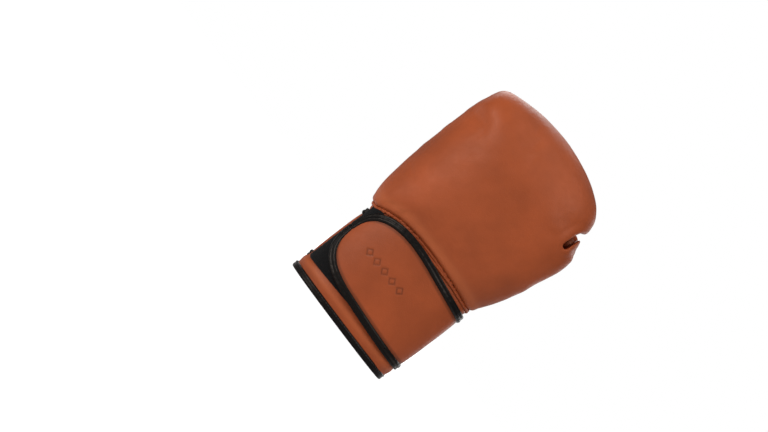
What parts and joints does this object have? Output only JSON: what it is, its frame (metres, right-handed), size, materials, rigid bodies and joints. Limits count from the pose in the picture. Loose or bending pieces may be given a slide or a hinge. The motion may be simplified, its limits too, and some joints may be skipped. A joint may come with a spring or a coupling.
{
  "type": "boxing glove",
  "caption": "Padded leather boxing glove for the left hand: rounded fist, closed thumb, laceless cuff with a wrap-round hook-and-loop strap edged in black binding.",
  "frame": {"origin": "middle of the underside of the whole glove's box, on the plane the hem of the cuff stands on", "axes": "+Z from the hem to the knuckles, -Y is the back of the hand, +Y the palm, +X the thumb side"},
  "size_m": [0.1736, 0.1232, 0.2769],
  "materials": {
    "tan_leather": "smooth semi-gloss tan-brown leather with a light sheen",
    "dark_leather": "the same leather, a little duller, on inner faces",
    "black_binding": "soft black synthetic leather, satin",
    "hook_and_loop": "matt black hook-and-loop tape",
    "foam": "closed-cell grey foam",
    "lining": "black satin-weave lining"
  },
  "bodies": {
    "glove": {"back_padding": "foam", "palm_padding": "foam", "thumb_padding": "foam", "cuff_padding": "foam", "back_panel": "tan_leather", "palm_panel": "tan_leather", "grip_band_lower": "tan_leather", "grip_band_upper": "tan_leather", "vent_patch": "tan_leather", "thumb_outer_panel": "tan_leather", "thumb_inner_panel": "dark_leather", "thumb_tab": "tan_leather", "wrist_welt": "tan_leather", "cuff_shell": "tan_leather", "finger_gusset_little": "dark_leather", "finger_gusset_index": "dark_leather", "vent_roll_thumb": "black_binding", "vent_roll_little": "black_binding", "hem_binding": "black_binding", "cuff_lining": "lining", "hand_lining": "lining", "grip_bar": "lining", "loop_pad": "hook_and_loop", "strap_base_panel": "tan_leather", "strap_base_binding_upper": "black_binding", "strap_base_binding_lower": "black_binding"},
    "strap_turn": {"strap_side_panel": "tan_leather", "strap_side_binding_upper": "black_binding", "strap_side_binding_lower": "black_binding"},
    "strap_flap": {"strap_flap_panel": "tan_leather", "strap_flap_binding": "black_binding", "hook_tape": "hook_and_loop"}
  },
  "joints": [
    {"name": "strap_side_hinge", "type": "hinge", "parent": "glove", "child": "strap_turn", "pos_m": [0.05455, 0.02578, 0.055], "axis": [0, 0, 1], "range_deg": [0, 75]},
    {"name": "strap_back_hinge", "type": "hinge", "parent": "strap_turn", "child": "strap_flap", "pos_m": [0.05455, -0.03897, 0.055], "axis": [0, 0, 1], "range_deg": [0, 105]}
  ]
}
